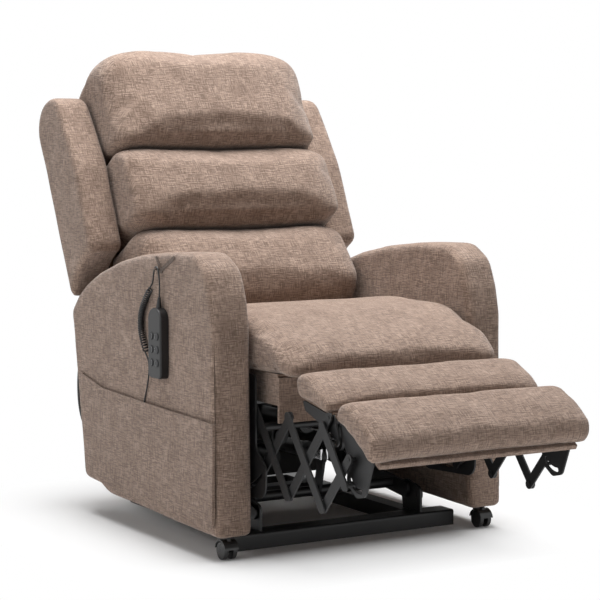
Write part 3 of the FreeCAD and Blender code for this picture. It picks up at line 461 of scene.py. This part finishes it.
softGoods = {
    "headCushion": {"node": "head_cushion", "body": "back", "voxel": 0.006, "pressure": 3.0, "cap": 0.011,
                    "fill": 0.75, "relax": 5, "rumple": (0.16, 0.0035), "half": 0.2845,
                    "planes": [(inBack(-104.5, 0), forwardInBack), (inBack(0, 507.5), upInBack)]},
    "midCushion": {"node": "mid_cushion", "body": "back", "voxel": 0.006, "pressure": 3.5, "cap": 0.012,
                   "fill": 0.75, "relax": 5, "rumple": (0.15, 0.003), "half": 0.2868,
                   "planes": [(inBack(-104.5, 0), forwardInBack), (inBack(0, 290.5), upInBack),
                              (inBack(0, 506.5), -upInBack)]},
    "lumbarCushion": {"node": "lumbar_cushion", "body": "back", "voxel": 0.006, "pressure": 2.5, "cap": 0.008,
                      "fill": 0.7, "relax": 5, "rumple": (0.15, 0.003), "half": 0.284,
                      "planes": [(inBack(-104.5, 0), forwardInBack), (inBack(0, 288.5), -upInBack)]},
    "seatCushion": {"node": "seat_cushion", "body": "chair", "voxel": 0.007, "pressure": 2.5, "cap": 0.012,
                    "fill": 0.8, "relax": 4, "rumple": (0.2, 0.003), "half": 0.279,
                    "planes": [(Vector((0, 0, 0.4062)), Vector((0, 0, 1)))]},
    "bridgePad": {"node": "bridge_pad", "body": "bridge", "voxel": 0.0045, "pressure": 3.0, "cap": 0.006,
                  "fill": 0.7, "relax": 3, "rumple": (0.1, 0.002), "half": 0.276, "planes": []},
    "footrestPad": {"node": "footrest_pad", "body": "footrest", "voxel": 0.005, "pressure": 3.0, "cap": 0.007,
                    "fill": 0.7, "relax": 3, "rumple": (0.12, 0.0025), "half": 0.276, "planes": []},
}


def makeSoftGoods():
    for seed, (name, facts) in enumerate(softGoods.items()):
        piece = copyOfNode(facts["node"], name)
        remesh(piece, facts["voxel"])
        relax(piece, facts["relax"])
        puff(piece, facts["pressure"], facts["cap"])
        rumple(piece, facts["rumple"][0], facts["rumple"][1], seed + 1)
        keepInside(piece, facts["half"], facts["planes"])
        relax(piece, 9, 0.5)
        piece.data.materials.clear()
        piece.data.materials.append(upholstery)
        for polygon in piece.data.polygons:
            polygon.use_smooth = True
        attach(piece, facts["body"])
        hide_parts(facts["node"])


makeSoftGoods()
print("cushions made")

panels = {
    "leftArmCover": {"node": "left_arm", "body": "chair", "voxel": 0.007, "rumple": (0.22, 0.002)},
    "rightArmCover": {"node": "right_arm", "body": "chair", "voxel": 0.007, "rumple": (0.22, 0.002)},
    "wingCovers": {"node": "back_wings", "body": "back", "voxel": 0.006, "rumple": (0.18, 0.002)},
    "backPanelCover": {"node": "back_panel", "body": "back", "voxel": 0.006, "rumple": (0.2, 0.001)},
}


def makePanels():
    for seed, (name, facts) in enumerate(panels.items()):
        piece = copyOfNode(facts["node"], name)
        remesh(piece, facts["voxel"])
        relax(piece, 3)
        rumple(piece, facts["rumple"][0], facts["rumple"][1], seed + 11)
        piece.data.materials.clear()
        piece.data.materials.append(upholstery)
        for polygon in piece.data.polygons:
            polygon.use_smooth = True
        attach(piece, facts["body"])
        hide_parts(facts["node"])


makePanels()
dress(upholstery, "rear_panel", "seat_apron")
dress(pocketCloth, "side_pocket")
dress(shadedTieCloth, "cord_tie")


def boxMesh(name, low, high):
    corners = [(x, y, z) for x in (low[0], high[0]) for y in (low[1], high[1]) for z in (low[2], high[2])]
    faces = [(0, 1, 3, 2), (4, 6, 7, 5), (0, 4, 5, 1), (2, 3, 7, 6), (0, 2, 6, 4), (1, 5, 7, 3)]
    mesh = bpy.data.meshes.new(name)
    mesh.from_pydata(corners, [], faces)
    return mesh


shadeSheet = {"half": 0.286, "front": 0.2635, "rear": 0.2665, "low": 0.045, "high": 0.302}


# Painted shade: a black sheet on the inner side of the rear panel, down to just over the floor frame,
# standing in for the shade under the chair that hides the floor behind
def makeShadeSheet():
    facts = shadeSheet
    mesh = boxMesh("shadeSheet", (-facts["half"], facts["front"], facts["low"]),
                   (facts["half"], facts["rear"], facts["high"]))
    mesh.materials.append(shadeBlack)
    piece = bpy.data.objects.new("shadeSheet", mesh)
    scene.collection.objects.link(piece)
    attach(piece, "chair")


makeShadeSheet()
print("panels made")


# Rows are (y, z) of the arm's border; layers are x of its outer and inner side, 4.2 mm under the face
armSeam = {
    "radius": 0.0011,
    "layers": (("Outer", 0.380 - 0.0042), ("Inner", 0.288 + 0.0042)),
    "middle": (-0.02, 0.30),
    "inset": 0.003,
    "rows": [
        (-0.3875, 0.0950), (-0.3835, 0.2500), (-0.3800, 0.4200), (-0.3790, 0.5040), (-0.3660, 0.5680),
        (-0.3390, 0.6240), (-0.2850, 0.6560), (-0.1560, 0.6515), (-0.0200, 0.6385), (0.0860, 0.6175),
        (0.1970, 0.5845), (0.2720, 0.5520), (0.3080, 0.5270), (0.3480, 0.4890), (0.3370, 0.4400),
    ],
}


def seamCurve(name, points, radius, body):
    data = bpy.data.curves.new(name, "CURVE")
    data.dimensions = "3D"
    data.bevel_depth = radius
    data.bevel_resolution = 2
    data.resolution_u = 6
    spline = data.splines.new("NURBS")
    spline.points.add(len(points) - 1)
    for target, point in zip(spline.points, points):
        target.co = (*point, 1)
    spline.order_u = 3
    spline.use_endpoint_u = True
    data.materials.append(seamShadeCloth)
    seam = bpy.data.objects.new(name, data)
    scene.collection.objects.link(seam)
    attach(seam, body)


# Fine seam round each arm, where its side meets the border that runs over front and top; its half-tone cloth
# is painted shade of the seam's groove
def makeArmSeams():
    for side, name in ((-1, "right"), (1, "left")):
        for place, layer in armSeam["layers"]:
            points = [Vector((side * layer, y, z)) for y, z in armSeam["rows"]]
            middle = Vector((side * layer, *armSeam["middle"]))
            drawn = [point + (middle - point).normalized() * armSeam["inset"] for point in points]
            seamCurve(name + "ArmSeam" + place, drawn, armSeam["radius"], "chair")


makeArmSeams()
print("seams made")


def cordCurve(name, points, radius, material, body):
    data = bpy.data.curves.new(name, "CURVE")
    data.dimensions = "3D"
    data.bevel_depth = radius
    data.bevel_resolution = 4
    data.resolution_u = 10
    data.use_fill_caps = True
    spline = data.splines.new("NURBS")
    spline.points.add(len(points) - 1)
    for target, point in zip(spline.points, points):
        target.co = (*point, 1)
    spline.order_u = 3
    spline.use_endpoint_u = True
    data.materials.append(material)
    curve = bpy.data.objects.new(name, data)
    scene.collection.objects.link(curve)
    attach(curve, body)
    return curve


# Routes in millimetres: (y, z) in the layer outside the arm, or (x, y, z)
cordRoute = {
    "layer": -388.5,
    "upper": [(-143, 557), (-144.5, 571), (-144.5, 592), (-140.5, 612), (-134, 623.8), (-125.5, 624.8),
              (-118, 616), (-113.5, 601), (-110.6, 585.6)],
    "coil": [(-100, 575), (-68, 543), (-46, 503), (-52, 461), (-78, 424)],
    "lower": [(-388.5, -89, 408.3), (-388.5, -90, 387), (-386.5, -80, 361), (-382.6, -62, 333),
              (-382.4, -50, 308), (-382.4, -50, 282)],
    "rear": [(-350, 337.5, 395), (-350, 353.3, 392.7), (-356, 363, 345), (-360, 360, 292),
             (-362, 347, 240), (-358, 327.8, 200.7), (-358, 308.05, 204)],
    "curls": 34,
    "curlRadius": 5.8,
    "steps": 12,
    "cutCorners": 0.985,  # a smoothed line through the points is this share of their straight lengths
    "wireRadius": 0.00185,
    "leadRadius": 0.004,
    "leadLength": 0.23,
}


# Points along the middle of the curly part, as a smooth curve through its route
def coilLine(count):
    route = [Vector((cordRoute["layer"], y, z)) for y, z in cordRoute["coil"]]
    knots = [route[0]] + [(a + b) / 2 for a, b in zip(route[1:-2], route[2:-1])] + [route[-1]]
    spans = list(zip(knots, route[1:-1], knots[1:]))
    points = []
    for i in range(count + 1):
        place = i / count * len(spans)
        start, bend, end = spans[min(int(place), len(spans) - 1)]
        share = place - min(int(place), len(spans) - 1)
        points.append(start * (1 - share) ** 2 + bend * 2 * share * (1 - share) + end * share ** 2)
    return points


def makeCords():
    layer = cordRoute["layer"]
    points = [Vector((layer, y, z)) for y, z in cordRoute["upper"]]
    curls = cordRoute["curls"]
    steps = cordRoute["steps"]
    count = curls * steps
    middles = coilLine(count)
    sideways = Vector((1, 0, 0))
    for i in range(steps // 2, count - steps // 2 + 1):
        middle = middles[i]
        ahead = (middles[i + 1] - middles[i - 1]).normalized()
        outward = ahead.cross(sideways).normalized()
        turn = 2 * math.pi * i / steps
        reach = cordRoute["curlRadius"] * min(1.0, i / steps, (count - i) / steps)
        points.append(middle + sideways * reach * math.cos(turn) + outward * reach * math.sin(turn))
    points += [Vector(point) for point in cordRoute["lower"]]
    points = [point / 1000 for point in points]
    wireRadius = cordRoute["wireRadius"]
    cordLine = cordCurve("handsetCord", points, wireRadius, cordJacket, "chair")
    cordLine.data.resolution_u = 3
    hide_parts("curly_cord", "cord_leads")
    rear = [Vector(point) / 1000 for point in cordRoute["rear"]]
    leadRadius = cordRoute["leadRadius"]
    rearLine = cordCurve("rearLead", rear, leadRadius, cordJacket, "chair")
    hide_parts("rear_lead")


makeCords()
print("cords made")


# Places of the keys on the handset, and the arc beside each, in metres and degrees
keyMarks = {
    "rows": {"up": 0.470, "middle": 0.440, "down": 0.410},
    "columns": {"left": -0.153, "right": -0.127},
    "layer": -0.40285,
    "reach": 0.0062,
    "lineRadius": 0.00035,
    "firstTurn": -70,
    "turnStep": 10,
    "points": 15,
}


# Pale arc printed round the outer half of every key
def makeKeyArcs():
    reach = keyMarks["reach"]
    for row, z in keyMarks["rows"].items():
        for column, y in keyMarks["columns"].items():
            data = bpy.data.curves.new("keyArc", "CURVE")
            data.dimensions = "3D"
            data.bevel_depth = keyMarks["lineRadius"]
            spline = data.splines.new("POLY")
            spline.points.add(keyMarks["points"] - 1)
            firstTurn = keyMarks["firstTurn"] + (180 if column == "right" else 0)
            for i, point in enumerate(spline.points):
                turn = math.radians(firstTurn + keyMarks["turnStep"] * i)
                point.co = (keyMarks["layer"], y + reach * math.cos(turn), z + reach * math.sin(turn), 1)
            data.materials.append(keyLine)
            arc = bpy.data.objects.new("keyArc_" + row + "_" + column, data)
            scene.collection.objects.link(arc)
            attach(arc, "button_" + row + "_" + column)


makeKeyArcs()


# The floor bends up to a backdrop; near the footprint it takes the shadow, further off it is plain white
stage = {
    "half": 12.0,
    "back": 4.0,
    "bend": 1.2,
    "bendSteps": 8,
    "rise": 6.0,
    "footprint": (0.34, 0.34, 0.0),
    "toWhite": [(0.02, 0.0), (0.16, 0.55), (0.36, 1.0)],
    "skyLight": 0.12,
    "seenSky": 1.0,
}


def makeFloor():
    mesh = bpy.data.meshes.new("floor")
    half, back, bend, steps = stage["half"], stage["back"], stage["bend"], stage["bendSteps"]
    rows = [(-half, 0.0), (back, 0.0)]
    for step in range(1, steps + 1):
        turn = math.radians(90 * step / steps)
        rows.append((back + bend * math.sin(turn), bend * (1 - math.cos(turn))))
    rows.append((back + bend, stage["rise"]))
    corners = []
    for y, z in rows:
        corners += [(-half, y, z), (half, y, z)]
    faces = [(i, i + 1, i + 3, i + 2) for i in range(0, len(corners) - 2, 2)]
    mesh.from_pydata(corners, [], faces)
    floor = bpy.data.objects.new("floor", mesh)
    scene.collection.objects.link(floor)
    floor.rotation_euler = (0, 0, math.radians(view["azimuth"]))
    material, w, shader = newMaterial("floorWhite")
    setShader(shader, {"Base Color": (0.85, 0.85, 0.85, 1), "Roughness": 0.9, "Specular IOR Level": 0.1})
    place = w.node("ShaderNodeTexCoord").outputs["Object"]
    turned = w.node("ShaderNodeVectorRotate", {"Vector": place, "Angle": math.radians(view["azimuth"])})
    apart = w.node("ShaderNodeVectorMath", {0: turned.outputs[0]}, operation="ABSOLUTE").outputs[0]
    apart = w.node("ShaderNodeVectorMath", {0: apart, 1: stage["footprint"]},
                   operation="SUBTRACT").outputs[0]
    apart = w.node("ShaderNodeVectorMath", {0: apart, 1: (0, 0, 0)}, operation="MAXIMUM").outputs[0]
    reach = w.node("ShaderNodeVectorMath", {0: apart}, operation="LENGTH").outputs["Value"]
    paths = w.node("ShaderNodeLightPath")
    seen = w.math("MAXIMUM", paths.outputs["Is Camera Ray"], paths.outputs["Is Glossy Ray"])
    seen = w.math("MAXIMUM", seen, paths.outputs["Is Transmission Ray"])
    plain = w.math("MULTIPLY", w.ramp(reach, stage["toWhite"]), seen)
    white = w.node("ShaderNodeEmission", {"Color": (1, 1, 1, 1), "Strength": 1.0})
    blend = w.node("ShaderNodeMixShader", {0: plain, 1: shader.outputs[0], 2: white.outputs[0]})
    w.tree.links.new(blend.outputs[0], w.tree.nodes["Material Output"].inputs[0])
    mesh.materials.append(material)
    for polygon in mesh.polygons:
        polygon.use_smooth = True


# White where the camera or a reflection sees it, and only a faint light on the chair
def makeWorld():
    world = bpy.data.worlds.new("studio")
    scene.world = world
    world.use_nodes = True
    tree = Wiring(world.node_tree)
    background = world.node_tree.nodes["Background"]
    background.inputs[0].default_value = (1, 1, 1, 1)
    paths = tree.node("ShaderNodeLightPath")
    seen = tree.math("MAXIMUM", paths.outputs["Is Camera Ray"], paths.outputs["Is Glossy Ray"])
    seen = tree.math("MULTIPLY", seen, stage["seenSky"] - stage["skyLight"])
    strength = tree.math("ADD", stage["skyLight"], seen)
    world.node_tree.links.new(strength, background.inputs[1])


lights = {
    "top": {"at": (0.2, 0.2, 3.4), "size": 2.4, "power": 195},
    "key": {"at": (-4.2, 0.3, 2.3), "size": 2.2, "power": 50},
    "front": {"at": (0.6, -4.6, 2.0), "size": 2.6, "power": 15},
}
lightAim = (0, 0, 0.5)


def makeLights():
    aim = Vector(lightAim)
    for name, facts in lights.items():
        data = bpy.data.lights.new(name, "AREA")
        data.shape = "SQUARE"
        data.size = facts["size"]
        data.energy = facts["power"]
        lamp = bpy.data.objects.new(name, data)
        scene.collection.objects.link(lamp)
        lamp.location = facts["at"]
        lamp.rotation_euler = (aim - Vector(facts["at"])).to_track_quat("-Z", "Y").to_euler()


makeFloor()
makeWorld()
makeLights()
print("stage made")
